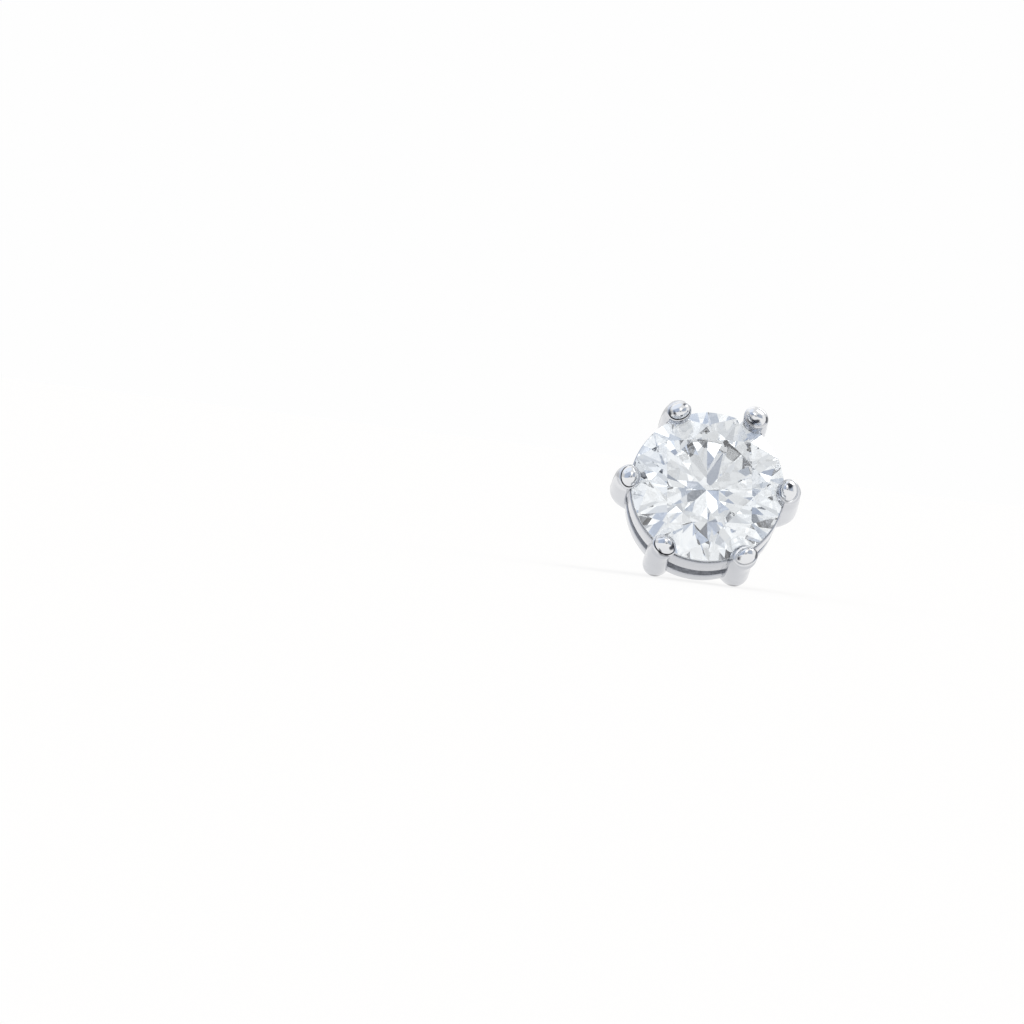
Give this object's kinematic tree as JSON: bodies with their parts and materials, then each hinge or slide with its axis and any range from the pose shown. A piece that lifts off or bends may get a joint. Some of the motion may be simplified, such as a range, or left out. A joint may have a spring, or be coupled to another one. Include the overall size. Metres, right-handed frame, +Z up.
{
  "type": "stud earring",
  "caption": "Solitaire stud earring: a round brilliant-cut stone held by claws in an open basket of polished white metal, on a straight ear post.",
  "frame": {"origin": "on the surface that the stud lies on, under the middle of its bounding box", "axes": "+Z up; the face of the stone looks to -Y and 15.5 degrees up; the post runs to +Y; +X is to the right as the face is seen"},
  "size_m": [0.008, 0.0152, 0.0075],
  "materials": {
    "diamond": "colourless, cut and polished facets",
    "white_gold": "polished, rhodium-bright white metal"
  },
  "bodies": {
    "root": {"stone": "diamond", "setting": "white_gold", "ear_post": "white_gold"}
  },
  "joints": []
}
